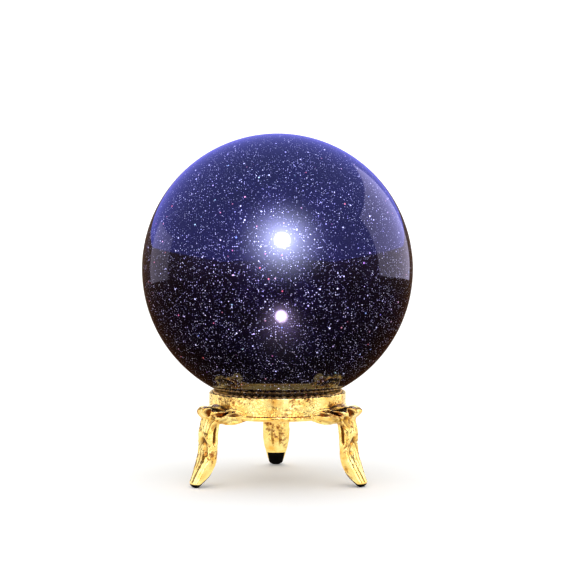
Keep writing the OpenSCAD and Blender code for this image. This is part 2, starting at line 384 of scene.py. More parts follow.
# %% Black toe pads and brass
# painted shade: the toe pads are near-black to stand in for the shadow and dark reflection under each foot
toe_shade_black, tree, shader, place = new_material("black_toe_shade", Specular_IOR_Level=0.2)
grain = add(tree, "ShaderNodeTexNoise", {"Vector": place, "Scale": per_mm(0.3), "Detail": 4.0})
toe_shade_tone = add(tree, "ShaderNodeMix", {0: grain.outputs["Fac"], 6: linear("#050505"), 7: linear("#121111")},
                  data_type="RGBA")
toe_shade_gloss = add(tree, "ShaderNodeMapRange", {"Value": grain.outputs["Fac"], "To Min": 0.45, "To Max": 0.75})
toe_shade_relief = add(tree, "ShaderNodeBump",
                    {"Height": grain.outputs["Fac"], "Strength": 0.4, "Distance": 0.05 * MM})
tree.links.new(toe_shade_tone.outputs[2], shader.inputs["Base Color"])
tree.links.new(toe_shade_gloss.outputs["Result"], shader.inputs["Roughness"])
tree.links.new(toe_shade_relief.outputs["Normal"], shader.inputs["Normal"])

screw_brass, tree, shader, place = new_material("turned_brass", Metallic=1.0)
handling = add(tree, "ShaderNodeTexNoise", {"Vector": place, "Scale": per_mm(0.25), "Detail": 2.0})
brass_tone = add(tree, "ShaderNodeMix", {0: handling.outputs["Fac"], 6: linear("#D9B46A"), 7: linear("#A98445")},
                 data_type="RGBA")
brass_gloss = add(tree, "ShaderNodeMapRange", {"Value": handling.outputs["Fac"], "To Min": 0.22, "To Max": 0.4})
tree.links.new(brass_tone.outputs[2], shader.inputs["Base Color"])
tree.links.new(brass_gloss.outputs["Result"], shader.inputs["Roughness"])
# the soles are the black pads of painted shade under the toes
print("rubber for the soles, brass for the screws")

# %% [markdown]
# ## The sphere
# A real goldstone ball is ground between two cups until it is round to a few hundredths of a
# millimetre. A ball drawn as a fine grid, with the poles up and down, stays smooth in its own
# reflections.

# %% Sphere
ball_rings, ball_sides = 160, 320
ball_points = [ball_centre + Vector((0, 0, ball_radius))]
for ring in range(1, ball_rings):
    polar = math.pi * ring / ball_rings
    for side in range(ball_sides):
        turn = 2 * math.pi * side / ball_sides
        ball_points.append(ball_centre + ball_radius * Vector(
            (math.sin(polar) * math.cos(turn), math.sin(polar) * math.sin(turn), math.cos(polar))))
ball_points.append(ball_centre - Vector((0, 0, ball_radius)))
ball_faces = [tuple(1 + index for index in reversed(face))
              for face in grid_faces(ball_rings - 1, ball_sides, close_columns=True)]
bottom = len(ball_points) - 1
first_of_last = bottom - ball_sides
for side in range(ball_sides):
    following = (side + 1) % ball_sides
    ball_faces.append((0, 1 + side, 1 + following))
    ball_faces.append((bottom, first_of_last + following, first_of_last + side))
ball = new_piece("goldstone_ball", ball_points, ball_faces, goldstone)
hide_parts("sphere")
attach(ball, "ball")
report(ball)

# %% [markdown]
# ## The band
# The band is a short tube with a rolled lip at the bottom and a thin rim at the top. Casting and
# polishing by hand leave its face softly crumpled, which is what breaks its reflections into bright and
# brown patches. The profile is turned about the axis as a grid, and the outer face is then pushed in
# and out by layered noise.

# %% Band's profile
band_low, band_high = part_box("band")
band_bottom, band_top = band_low.z / MM, band_high.z / MM
band_r = 20.3              # mm, the face's radius
band_wall, rim_wall = 1.6, 0.95      # thickness below the flange, and beside the beads
lip_out = band_high.x / MM - band_r
lip_height = 1.5
lip_r = lip_height / 2
inner_r = band_r - band_wall
bead_proud, bead_across = 0.4, 1.8   # the beads' height above the rim, and their size
rest_gap = 0.05            # beads to flange
flange_r = 17.225          # inside the flange
flange_top = band_top + bead_proud - bead_across - rest_gap
flange_thick = 1.0


def arc(centre_r, centre_z, radius, start, end, steps):
    """Points of a circular arc in the profile, from one angle to another in degrees."""
    return [(centre_r + radius * math.cos(math.radians(a)), centre_z + radius * math.sin(math.radians(a)))
            for a in np.linspace(start, end, steps)]


def straight(start, end, steps):
    """Points of a straight stretch of the profile, without its last one."""
    return [(start[0] + (end[0] - start[0]) * k / steps, start[1] + (end[1] - start[1]) * k / steps)
            for k in range(steps)]


lip_centre = (band_r + lip_out - lip_r, band_bottom + lip_r)
lip_meets_face = math.degrees(math.asin(min(1, (band_r - lip_centre[0]) / lip_r)))
face_from = (band_r, lip_centre[1] + lip_r * math.cos(math.radians(lip_meets_face)))
face_to = (band_r, band_top - rim_wall / 2)
profile = straight((inner_r, band_bottom), (lip_centre[0], band_bottom), 4)
profile += arc(*lip_centre, lip_r, -90, 90 - lip_meets_face, 14)[:-1]
profile += straight(face_from, face_to, 40)
profile += arc(band_r - rim_wall / 2, band_top - rim_wall / 2, rim_wall / 2, 0, 180, 12)
profile += straight((band_r - rim_wall, band_top - rim_wall / 2 - 0.1), (band_r - rim_wall, flange_top), 6)
profile += straight((band_r - rim_wall, flange_top), (flange_r, flange_top), 4)
profile += straight((flange_r, flange_top), (flange_r, flange_top - flange_thick), 3)
profile += straight((flange_r, flange_top - flange_thick), (inner_r, flange_top - flange_thick), 3)
profile += straight((inner_r, flange_top - flange_thick), (inner_r, band_bottom), 10)
profile = np.array(profile)
print("band's profile:", len(profile), "points")


# %% [markdown]
# The crumpling is a sum of noises, as a dent is a sum of small blows: broad and soft everywhere, and
# fine only in some patches. The rim gets one small notch beside each bead. How deep each point is
# pressed in is kept for the gilding, which paints the dents darker as shade.

# %% Band
def crumple(x, y, z):
    """How far the band's face stands out at a point, in mm: broad soft waves, and patches of fine crinkles."""
    here = Vector((x, y, z))
    broad = noise.noise(here * 0.24)
    soft = noise.noise(here * 0.55 + Vector((3, 8, 0)))
    warped = here + 0.5 * Vector((noise.noise(here * 0.9 + Vector((7, 0, 0))), noise.noise(here * 0.9), 0))
    crinkle = noise.noise(warped * 1.7) + 0.6 * noise.noise(warped * 3.1)
    patch = float(smooth_step(noise.noise(here * 0.17 + Vector((0, 31, 0))), -0.15, 0.3))
    return 0.08 * broad + 0.05 * soft + patch * 0.085 * crinkle


band_sides = 840
rim_notches, notch_depth = 55, 0.22
turns = np.linspace(0, 2 * math.pi, band_sides, endpoint=False)
band_points, band_sunk = [], []
for row, (r, z) in enumerate(profile):
    out_side = r > band_r - rim_wall / 2 - 0.01 or (r > band_r - 1.2 and z < band_bottom + lip_height)
    weight = 0.0
    if out_side:
        weight = 1.0 if z > band_bottom + lip_height else 0.5
        weight *= 1 - 0.6 * float(smooth_step(z, band_top - 0.6, band_top))
    for turn in turns:
        x, y = r * math.cos(turn), r * math.sin(turn)
        push = weight * (crumple(x, y, z) - 0.05) if weight else 0.0
        # painted shade: the deeper a dent, the darker brown the gilding paints it
        band_sunk.append(-2.2 * push - 0.06 if weight == 1.0 else 0.0)
        notch = notch_depth * float(smooth_step(z, band_top - 0.35, band_top))
        notch *= (1 - abs(math.cos(rim_notches * turn / 2))) ** 2
        band_points.append(((r + push) * math.cos(turn) * MM, (r + push) * math.sin(turn) * MM, (z - notch) * MM))
band = new_piece("gilt_band", band_points, grid_faces(len(profile), band_sides, True, True), gilt_band_metal)
store_sunk(band, band_sunk)
print("band's face is pressed in by up to", round(max(band_sunk) / 2.2, 2), "mm")

# %% [markdown]
# Three holes go through the band's wall for the screws that hold the legs. They are drilled into the
# finished shape, as in the real part, so their edges are crisp.

# %% Screw holes
screw_low, screw_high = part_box("screw_back")
screw_r, screw_head_r, screw_head_height, screw_length = 1.0, 1.7, 1.2, 4.4
screw_z = (screw_low.z + screw_high.z) / 2 / MM
screw_seat = screw_high.y / MM - screw_length
drill_from = 10            # mm from the stand's axis, well inside the band


def drill(name, degrees, radius, reach):
    """A round cutting tool that lies along a screw's line and ends at reach. radius and reach are in mm."""
    mesh = bpy.data.meshes.new(name)
    shape = bmesh.new()
    bmesh.ops.create_cone(shape, cap_ends=True, segments=40, radius1=radius * MM, radius2=radius * MM,
                          depth=(reach - drill_from) * MM)
    shape.to_mesh(mesh)
    shape.free()
    tool = bpy.data.objects.new(name, mesh)
    middle_at = Matrix.Translation(((reach + drill_from) / 2 * MM, 0, screw_z * MM))
    along_x = middle_at @ Matrix.Rotation(math.pi / 2, 4, "Y")
    tool.matrix_world = Matrix.Rotation(math.radians(degrees), 4, "Z") @ along_x
    bpy.context.scene.collection.objects.link(tool)
    return tool


screw_gap, thread_gap = 0.1, 0.02    # round the screw in the band's hole and in the leg's
drills = [drill(f"band_drill_{degrees}", degrees, screw_r + screw_gap, band_r + 3) for degrees in (90, 210, 330)]
cut(band, [(tool, "DIFFERENCE") for tool in drills])
for tool in drills:
    bpy.data.objects.remove(tool)
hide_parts("band")
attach(band, "stand")
report(band)

# %% [markdown]
# ## The beaded seat ring
# The seat is beaded wire bent to a ring: round beads with short necks between them. A string of
# separate balls would leave faces buried inside each other. One tube whose radius swells into a bead
# and shrinks to the neck has the same look with a single clean skin.

# %% Seat ring
ring_low, ring_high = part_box("seat_ring")
bead_r = (ring_high.z - ring_low.z) / 2 / MM
bead_ring_r = ring_high.x / MM - bead_r
bead_z = (ring_high.z + ring_low.z) / 2 / MM
bead_pitch = 2.1
bead_count = round(2 * math.pi * bead_ring_r / bead_pitch)
neck_r = 0.5
steps_per_bead, tube_sides = 14, 20
ring_points = []
for step in range(bead_count * steps_per_bead):
    turn = 2 * math.pi * step / (bead_count * steps_per_bead)
    along = ((step / steps_per_bead + 0.5) % 1 - 0.5) * 2 * math.pi * bead_ring_r / bead_count
    swell = math.sqrt(max(bead_r ** 2 - along ** 2, neck_r ** 2))
    for side in range(tube_sides):
        around = 2 * math.pi * side / tube_sides
        r = bead_ring_r + swell * math.cos(around)
        ring_points.append((r * math.cos(turn) * MM, r * math.sin(turn) * MM,
                            (bead_z + swell * math.sin(around)) * MM))
ring_faces = [tuple(reversed(face)) for face in grid_faces(bead_count * steps_per_bead, tube_sides, True, True)]
seat_ring = new_piece("beaded_seat_ring", ring_points, ring_faces, gilt_bead_metal)
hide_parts("seat_ring")
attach(seat_ring, "seat")
print("beads:", bead_count)
report(seat_ring)

# %% [markdown]
# ## One leg, in rough
# A leg is one casting: a shank that hangs from the knee and kicks out to a toe, and an acanthus leaf
# that wraps the band. The shank is swept along a curve through a few stations. The leaf is lofted
# around the band from smooth profiles that rise into a knob and run out into wings. The two are joined by
# remeshing them as one skin of small even quads, the way a wax model's parts are melted together before
# casting.

# %% Stations along the shank
leg_height = band_bottom
leg_thick, leg_wide, toe_out, toe_thick, toe_wide, leaf_rise = 3.9, 8.6, 8.7, 2.9, 4.6, 4.0


def mix(a, b, k):
    """The value that is k of the way from a to b."""
    return a + (b - a) * k


# Stations from knee to toe: out from the band's face, height, half thickness, half width
stations = np.array([
    (leg_thick * 0.34, leg_height + leaf_rise * 0.80, leg_thick * 0.22, leg_wide * 0.36),
    (leg_thick * 0.56, leg_height + leaf_rise * 0.15, leg_thick * 0.46, leg_wide * 0.48),
    (leg_thick * 0.76, leg_height * 0.82, leg_thick * 0.48, leg_wide * 0.50),
    (leg_thick * 0.82, leg_height * 0.60, leg_thick * 0.48, leg_wide * 0.49),
    (leg_thick * 0.94, leg_height * 0.40, leg_thick * 0.56, leg_wide * 0.46),
    (mix(leg_thick * 0.94, toe_out, 0.27), leg_height * 0.235, leg_thick * 0.57,
     mix(leg_wide, toe_wide, 0.55) / 2),
    (mix(leg_thick * 0.94, toe_out, 0.56), leg_height * 0.125, mix(leg_thick, toe_thick, 0.3) / 2,
     mix(leg_wide, toe_wide, 0.82) / 2),
    (toe_out - toe_thick * 0.45, toe_thick * 0.43, toe_thick / 2, toe_wide / 2),
])
last_station = len(stations) - 1


def station_at(t):
    """The station's four values anywhere between the listed ones, on a smooth curve through them."""
    i = min(max(int(t), 0), last_station - 1)
    k = t - i
    p0, p1, p2, p3 = (stations[min(max(j, 0), last_station)] for j in (i - 1, i, i + 1, i + 2))
    return 0.5 * (2 * p1 + (p2 - p0) * k + (2 * p0 - 5 * p1 + 4 * p2 - p3) * k ** 2
                  + (3 * p1 - p0 - 3 * p2 + p3) * k ** 3)


def heading_at(t):
    """The direction of the shank's middle line, towards the toe."""
    step = station_at(min(t + 0.05, last_station)) - station_at(max(t - 0.05, 0))
    return step[:2] / np.linalg.norm(step[:2])


print("stations:", len(stations))


# %% [markdown]
# Around each point of that curve goes one cross-section. Its corners are squarer on the shin, where the
# mould's two halves met and were filed, and it turns round towards the toe. A few shrinking sections
# close the toe like a cap.

# %% Shank
def rounded(values, power):
    """Bends a circle's sines and cosines towards a square. A power of 2 leaves the circle as it is."""
    return np.sign(values) * np.abs(values) ** (2 / power)


section_sides, shank_steps, cap_steps = 96, 180, 10
section_angles = np.linspace(0, 360, section_sides, endpoint=False)   # 0 is the outer face, 180 the inner
shin_power, toe_power = 2.5, 2.0
shank_rings = []
for step in range(shank_steps + cap_steps):
    t = min(last_station * step / (shank_steps - 1), last_station)
    out, height, thick, wide = station_at(t)
    along = heading_at(t)
    shift, shrink = 0.0, 1.0
    if step >= shank_steps:
        k = (step - (shank_steps - 1)) / (cap_steps + 0.4)
        shift, shrink = toe_thick * 0.45 * k, math.sqrt(1 - k * k)
    square = mix(shin_power, toe_power, float(smooth_step(t, 4.6, 6.5)))
    across = thick * shrink * rounded(np.cos(np.radians(section_angles)), square)
    sideways = wide * shrink * rounded(np.sin(np.radians(section_angles)), square)
    x = band_r + out + along[0] * shift - along[1] * across
    z = height + along[1] * shift + along[0] * across
    shank_rings.append(np.stack([x, -sideways, z], 1))
shank_points = np.concatenate(shank_rings)
shank_faces = grid_faces(len(shank_rings), section_sides, close_columns=True)
shank_faces.append(tuple(range(section_sides - 1, -1, -1)))
shank_faces.append(tuple(len(shank_points) - section_sides + i for i in range(section_sides)))
print("shank:", len(shank_points), "points")

# %% [markdown]
# The leaf is first made smooth, as a round knob over the knee that runs out into a wing on each side.
# Each profile of the loft is a closed loop in the plane through the stand's axis: up behind, over the
# top and down the front.

# %% Leaf
leaf_half_span = 11.75                 # mm along the band, from the midrib to a wing tip
leaf_half_angle = leaf_half_span / band_r
leaf_columns, leaf_around = 240, 64


def leaf_profile(side):
    """One closed loop of (out, height) points, at side from -1 to 1 along the leaf."""
    x = abs(side)
    reach = 0.4 + 5.5 * math.cos(math.pi / 2 * max(0.0, x - 0.1) / 0.9) ** 2.4
    top = leg_height + leaf_rise * (1 - 0.42 * x ** 2.2) - 0.45 * float(bump(x, 0.42, 0.2))
    low = leg_height - 0.9 * float(bump(x, 0, 0.35)) - 1.9 * math.sin(math.pi * x) * (1 - 0.3 * x)
    middle = mix(low, top, 0.56)
    loop = []
    shoulder = 1 - 0.75 * float(smooth_step(x, 0.28, 0.6))  # the wings slope into the band at their top
    for k in range(leaf_around):
        a = math.pi * (k / (leaf_around - 1) - 0.5)          # from straight down to straight up, round the front
        up = math.sin(a)
        height = middle + (top - middle) * up if up > 0 else middle + (middle - low) * up
        lean = 0.80 + 0.20 * float(smooth_step(up, -0.9, 0.35))
        lean *= 1 - (1 - shoulder) * float(smooth_step(up, 0.1, 0.8))
        out = max(reach * math.cos(a) ** (0.62 + 0.6 * x) * lean, 0.12)
        behind_rim = (1.3 * (1 - x) ** 2) * float(bump(out, 0.28 * reach, 0.42 * reach)) * max(up, 0.0)
        loop.append((out, height - behind_rim + 0.15 * (1 - x)))
    loop[0] = (-0.06, low)
    loop[-1] = (-0.06, top)
    return loop


leaf_points = []
for column in range(leaf_columns + 1):
    side = 2 * column / leaf_columns - 1
    turn = side * leaf_half_angle
    for out, height in leaf_profile(side):
        r = band_r + out
        leaf_points.append((r * math.cos(turn), r * math.sin(turn), height))
leaf_faces = grid_faces(leaf_columns + 1, leaf_around, close_columns=True)
leaf_faces.append(tuple(range(leaf_around - 1, -1, -1)))
leaf_faces.append(tuple(leaf_columns * leaf_around + i for i in range(leaf_around)))
print("leaf:", len(leaf_points), "points")

# %% [markdown]
# Melting the two together is done by remeshing: the space they fill is divided into tiny cubes and
# given one new skin. The cubes are small enough to keep the knob's edge, and a little smoothing takes
# their steps away.

# %% Join shank and leaf
voxel = 0.15               # mm
rough_leg = new_piece(
    "rough_leg",
    [Vector(point) * MM for point in [*shank_points, *leaf_points]],
    [*shank_faces, *[tuple(index + len(shank_points) for index in face) for face in leaf_faces]],
)
face_outwards(rough_leg)
melt = rough_leg.modifiers.new("melt", "REMESH")
melt.mode = "VOXEL"
melt.voxel_size = voxel * MM
soften = rough_leg.modifiers.new("soften", "SMOOTH")
soften.factor = 0.5
soften.iterations = 3
finish_shape(rough_leg)
report(rough_leg)

# %% [markdown]
# ## Cutting the foot for its sole
# The sole is a thin black pad under the toe that also runs a little way up the inner side, a dark piece painted in
# for the shadow and dark reflection under the foot. Its top follows the underside of the foot, one sole's
# thickness inside it, so a single cutting block divides the rough leg into the casting and the sole, and the two
# meet exactly.

# %% Sole
sole_thick, sole_heel_thick, sole_rise, sole_from = 1.1, 0.6, 4.3, 3.9
sole_line = []
for t in np.linspace(sole_from, last_station, 17):
    out, height, thick, wide = station_at(t)
    along = heading_at(t)
    inside = thick - mix(sole_heel_thick, sole_thick, (t - sole_from) / (last_station - sole_from))
    sole_line.append((band_r + out + along[1] * inside, min(height - along[0] * inside, sole_rise)))
reach, below = band_r + toe_out + toe_thick, -toe_thick
outline = sole_line + [(reach, sole_line[-1][1]), (reach, below), (sole_line[0][0] - leg_thick, below),
                       (sole_line[0][0] - leg_thick, sole_line[0][1])]
block_points = [Vector((r, side * leg_wide, z)) * MM for side in (-1, 1) for r, z in outline]
count = len(outline)
block_faces = [tuple(range(count)), tuple(range(2 * count - 1, count - 1, -1))]
block_faces += [(i, (i + 1) % count, (i + 1) % count + count, i + count) for i in range(count)]
block = new_piece("sole_block", block_points, block_faces)
face_outwards(block)
ground = box_tool("ground_block", (10, 40), (-20, 20), (-10, 0))
leg_drill = drill("leg_drill", 0, screw_r + thread_gap, screw_seat + screw_length + 0.3)
casting = cut(copy_of(rough_leg, "casting"),
              [(ground, "DIFFERENCE"), (block, "DIFFERENCE"), (leg_drill, "DIFFERENCE")])
pad = cut(copy_of(rough_leg, "pad"), [(ground, "DIFFERENCE"), (block, "INTERSECT")])
report(casting)
report(pad)

# %% [markdown]
# ## Carving
# The rough leg is smooth, and the carving is now pressed into its skin: hollows and furrows that move
# each point inwards by an amount that depends on where it is. The furrows fan from the shank up into
# the knob and the wings, like the veins of an acanthus leaf, and each ends in a deep eye below the rim.
# Pressing the skin in keeps it in one piece, and a cut made with a separate tool would leave sharp
# seams that a casting never has.

# %% Carving tools
def hollow(y, z, at, half, depth, tilt=0.0):
    """An oval hollow with a flat floor and steep sides."""
    turn = math.radians(tilt)
    dy, dz = y - at[0], z - at[1]
    across, along = dy * math.cos(turn) + dz * math.sin(turn), dz * math.cos(turn) - dy * math.sin(turn)
    return depth * np.exp(-((across / half[0]) ** 2 + (along / half[1]) ** 2) ** 2)


def furrow(y, z, path, width, depth):
    """A rounded groove along a curve through three points, fading towards both of its ends."""
    start, middle, end = (np.array(point) for point in path)
    groove = np.zeros_like(y)
    for k in np.linspace(0, 1, 25):
        point = start * (1 - k) * (1 - 2 * k) + middle * 4 * k * (1 - k) + end * k * (2 * k - 1)
        near = np.exp(-((y - point[0]) ** 2 + (z - point[1]) ** 2) / width ** 2)
        groove = np.maximum(groove, near * min(1.0, 5 * k, 5 * (1 - k)))
    return depth * groove


def middle_line(z):
    """How far out the shank's middle is at a height."""
    return band_r + np.interp(z, stations[::-1, 1], stations[::-1, 0])


def front_carving(y, z):
    """Depth of the carving on the outer side, in mm. The two halves of the leaf mirror each other."""
    y = np.abs(y)
    depth = hollow(y, z, (2.9, 21.7), (1.05, 0.95), 1.5, 15)          # the eye beside the knob
    depth += hollow(y, z, (6.0, 21.5), (1.1, 0.7), 1.3, 25)           # the next eye
    depth += hollow(y, z, (8.4, 21.3), (1.5, 0.5), 0.8, 12)           # a long shallow lens in the wing
    depth += hollow(y, z, (4.4, 20.3), (0.3, 0.3), 0.45)              # a punch mark between the veins
    for path, width, deep in (                                        # four veins, from the midrib outwards
        (((2.4, 21.0), (1.5, 18.6), (1.0, 15.6)), 0.42, 0.42),
        (((5.4, 20.9), (3.2, 18.9), (2.0, 15.8)), 0.45, 0.55),
        (((8.0, 20.5), (5.2, 19.0), (3.2, 16.2)), 0.42, 0.5),
        (((10.3, 19.9), (7.4, 19.2), (4.7, 17.9)), 0.38, 0.4),
    ):
        depth += furrow(y, z, path, width, deep)
    edge = 14.2 - 1.8 * smooth_step(y, 0.3, 3.2)                      # the leaf ends in two points over the stem
    inside = 1 - smooth_step(y, 2.6, 3.7)
    depth -= 0.22 * smooth_step(z - edge, -0.1, 0.3) * (1 - smooth_step(z, 16.5, 19.0)) * inside
    depth += 0.32 * np.exp(-((z - edge + 0.3) / 0.34) ** 2) * inside
    depth += hollow(y, z, (0.0, 13.3), (1.2, 0.9), 0.65)              # the notch between the two points
    depth += furrow(y, z, ((0.7, 13.2), (1.7, 11.5), (2.7, 9.4)), 0.52, 0.8)         # an inverted V on the shin
    depth += furrow(y, z, ((0.0, 13.0), (0.0, 8.8), (0.0, 4.8)), 0.22, 0.16)         # a fine line down to the toe
    return depth


def side_carving(x, z):
    """Depth of the long groove on the shank's sides, where the leaf's edge lifts off the stem."""
    run = smooth_step(z, 11.9, 13.2) * (1 - smooth_step(z, 17.0, 18.4))
    return 0.95 * np.exp(-((x - middle_line(z) - 0.15) / 0.42) ** 2) * run


def inner_carving(y, z):
    """Depth of the two flutes on the shank's inner face."""
    return furrow(np.abs(y), z, ((1.35, 12.4), (1.3, 9.4), (1.15, 6.2)), 0.42, 0.55)


# %% [markdown]
# ## Three castings
# All three legs come from one mould, yet filing and polishing by hand leave each a little different. So
# the places of the carving wander by soft noise, with a different part of the noise for each leg, and
# the same kind of noise moves the skin itself. All of it fades out at the foot, so that the sole still
# meets the casting.

# %% Turning into place
leg_places = {"back": 90, "front_left": 210, "front_right": 330}      # degrees round the stand


def noise_at(points, scale, offset):
    """Soft noise at each point, with the scale in waves per mm."""
    return np.array([noise.noise(Vector(point) * scale + offset) for point in points])


def placed(template, name, degrees, material, carved, knob_out=0.0):
    """A copy of a template turned to its place, with its skin carved if asked. knob_out is in mm."""
    piece = copy_of(template, name)
    mesh = piece.data
    mesh.materials.clear()
    mesh.materials.append(material)
    points = np.array([vertex.co[:] for vertex in mesh.vertices]) / MM
    if carved:
        normals = np.array([vertex.normal[:] for vertex in mesh.vertices])
        seed = Vector((degrees, 17.0, 5.0))
        y = points[:, 1] + 0.45 * noise_at(points, 0.30, seed)
        z = points[:, 2] + 0.40 * noise_at(points, 0.35, seed * 2)
        radius = np.hypot(points[:, 0], points[:, 1])
        outwards = np.stack([points[:, 0] / radius, points[:, 1] / radius, np.zeros(len(radius))], 1)
        facing = (normals * outwards).sum(1)
        hold = smooth_step(points[:, 2], 3.6, 5.5)
        room = np.maximum(radius - band_r - 0.3, 0)
        front = np.minimum(front_carving(y, z) * smooth_step(facing, 0.0, 0.5), room) * hold
        inner = inner_carving(y, z) * smooth_step(-facing, 0.2, 0.6) * hold * (points[:, 2] < band_bottom - 2)
        side = side_carving(points[:, 0], z) * smooth_step(np.abs(normals[:, 1]), 0.3, 0.7) * hold
        lumps = (0.07 * noise_at(points, 0.5, seed) + 0.035 * noise_at(points, 1.3, seed)
                 + 0.022 * noise_at(points, 2.6, seed)) * hold * smooth_step(radius, band_r + 0.1, band_r + 0.6)
        knob = knob_out * bump(points[:, 2], 21.4, 3.2) * smooth_step(radius, band_r + 1, band_r + 4)
        points += outwards * (knob - front + inner)[:, None]
        points[:, 1] -= np.sign(points[:, 1]) * side
        points += normals * lumps[:, None]
        # painted shade: the carving's depth, which the gilding paints dark brown
        store_sunk(piece, (front + inner + side) / 0.75 - 0.12)
    turn = Matrix.Rotation(math.radians(degrees), 4, "Z")
    for vertex, point in zip(mesh.vertices, points):
        vertex.co = turn @ (Vector(point) * MM)
    mesh.polygons.foreach_set("use_smooth", [True] * len(mesh.polygons))
    mesh.update()
    return piece


# %% [markdown]
# With that done for one leg, a loop makes all three, each with its own sole.

# %% Legs and soles
knobs_out = {"back": 0.0, "front_left": 0.0, "front_right": 0.9}      # mm, for a knob that was filed less
for place_name, degrees in leg_places.items():
    leg = placed(casting, f"gilt_leg_{place_name}", degrees, gilt_leg_metal, True, knobs_out[place_name])
    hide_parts(f"leg_{place_name}")
    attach(leg, "stand")
    report(leg)
    # painted shade: a black pad under each toe
    sole = placed(pad, f"black_toe_shade_pad_{place_name}", degrees, toe_shade_black, False)
    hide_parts(f"sole_{place_name}")
    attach(sole, "stand")
    report(sole)

for tool in (rough_leg, block, ground, casting, pad, leg_drill):
    bpy.data.objects.remove(tool)

# %% [markdown]
# ## Screws
# Each leg is held by one slotted screw from inside the band. The thread is a real spiral: going once
# round the grid moves its ridge one pitch along, so the grid needs no separate rings. The head is
# turned with a flat face and a rounded rim, and its slot is sawn last.

# %% Screw
thread_pitch, thread_depth = 0.4, 0.16
thread_rows, thread_sides = 150, 40
screw_rows = []
for row in range(thread_rows):
    x = screw_seat + screw_length * (1 - row / (thread_rows - 1))
    tip = 1 - 0.45 * float(smooth_step(x, screw_seat + screw_length - 0.5, screw_seat + screw_length))
    ring = []
    for side in range(thread_sides):
        phase = (x / thread_pitch + side / thread_sides) % 1
        ring.append((x, (screw_r - thread_depth * abs(2 * phase - 1)) * tip, side))
    screw_rows.append(ring)
head_profile = [(0.0, screw_head_r - 0.05), (-0.08, screw_head_r), (-screw_head_height + 0.35, screw_head_r)]
head_profile += [(-screw_head_height + 0.22 - 0.22 * math.sin(a), screw_head_r - 0.3 + 0.3 * math.cos(a))
                 for a in np.linspace(0.2, math.pi / 2, 8)]
head_profile += [(-screw_head_height, screw_head_r * k) for k in (0.6, 0.35, 0.1)]
for along, radius in head_profile:
    screw_rows.append([(screw_seat + along, radius, side) for side in range(thread_sides)])
screw_points = [(x * MM, radius * math.cos(2 * math.pi * side / thread_sides) * MM,
                 (screw_z + radius * math.sin(2 * math.pi * side / thread_sides)) * MM)
                for ring in screw_rows for x, radius, side in ring]
screw_faces = grid_faces(len(screw_rows), thread_sides, close_columns=True)
screw_faces.append(tuple(range(thread_sides)))
screw_faces.append(tuple(len(screw_points) - 1 - i for i in range(thread_sides)))
screw_template = new_piece("screw_template", screw_points, screw_faces, screw_brass)
face_outwards(screw_template)
slot_half, slot_floor = screw_head_r * 0.16, screw_seat - screw_head_height * 0.5
saw = box_tool("saw", (slot_floor - 2, slot_floor), (-3, 3), (screw_z - slot_half, screw_z + slot_half))
cut(screw_template, [(saw, "DIFFERENCE")])
report(screw_template)

# %% [markdown]
# One finished screw is now copied to each leg's place. All three are alike, as screws from one box are,
# so nothing is carved or moved on them.

# %% Screws in place
for place_name, degrees in leg_places.items():
    screw = placed(screw_template, f"slotted_screw_{place_name}", degrees, screw_brass, False)
    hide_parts(f"screw_{place_name}")
    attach(screw, "stand")
report(screw)
for tool in (screw_template, saw):
    bpy.data.objects.remove(tool)

# %% [markdown]
# ## Floor and world
# Dark glass and mirror-bright gold show little of their own colour: they show the room. So the room is
# made for them, the way a jeweller lights a table. The floor and the backdrop are plain and pale for
# the camera. What the pieces mirror is a second, darker world, brown below and grey above, and a light
# path node tells the two apart.

# %% Floor and world
bpy.context.scene.view_settings.view_transform = "Standard"

floor = new_piece("floor", [(x, y, 0) for x, y in ((-6, -6), (6, -6), (6, 6), (-6, 6))], [(0, 1, 2, 3)])
floor_paint, tree, shader, place = new_material("pale_floor", Roughness=0.9)
speckle = add(tree, "ShaderNodeTexNoise", {"Vector": place, "Scale": per_mm(40), "Detail": 2.0})
pale = add(tree, "ShaderNodeMix", {0: speckle.outputs["Fac"], 6: linear("#FAFAF9"), 7: linear("#F4F4F2")},
           data_type="RGBA")
tree.links.new(pale.outputs[2], shader.inputs["Base Color"])
floor.data.materials.append(floor_paint)
floor.visible_glossy = False

world = bpy.data.worlds.new("studio")
bpy.context.scene.world = world
world.use_nodes = True
tree = world.node_tree
tree.nodes.clear()
direction = add(tree, "ShaderNodeSeparateXYZ", {"Vector": add(tree, "ShaderNodeTexCoord").outputs["Generated"]})
height = add(tree, "ShaderNodeMapRange", {"Value": direction.outputs["Z"], "From Min": -1.0})
room_ramp = add(tree, "ShaderNodeValToRGB", {"Fac": height.outputs["Result"]})
fill_ramp(room_ramp, [(0.0, "#26180C"), (0.40, "#482B14"), (0.50, "#64482F"), (0.60, "#7A6250"), (1.0, "#7C7678")])
reflected = add(tree, "ShaderNodeBackground", {"Color": room_ramp.outputs["Color"], "Strength": 1.0})
soft = add(tree, "ShaderNodeBackground", {"Color": linear("#FFFFFF"), "Strength": 1.45})
ray = add(tree, "ShaderNodeLightPath")
either = add(tree, "ShaderNodeMixShader",
             {0: ray.outputs["Is Glossy Ray"], 1: soft.outputs[0], 2: reflected.outputs[0]})
add(tree, "ShaderNodeOutputWorld", {"Surface": either.outputs[0]})
print("world:", len(tree.nodes), "nodes")

# %% [markdown]
# ## Lights
# Light linking lets each lamp light only the pieces that it is meant for. The pieces are sorted into
# three collections first: the glass, all the metal, and the beads, which sit in the sphere's shade and
# need a lamp more.

# %% Which lamps light which pieces
lit_glass = bpy.data.collections.new("lit_glass")
lit_gilding = bpy.data.collections.new("lit_gilding")
lit_beads = bpy.data.collections.new("lit_beads")
lit_glass.objects.link(ball)
lit_beads.objects.link(seat_ring)
for piece in bpy.context.scene.objects:
    if piece.name.startswith(("gilt_", "beaded_", "slotted_")):
        lit_gilding.objects.link(piece)


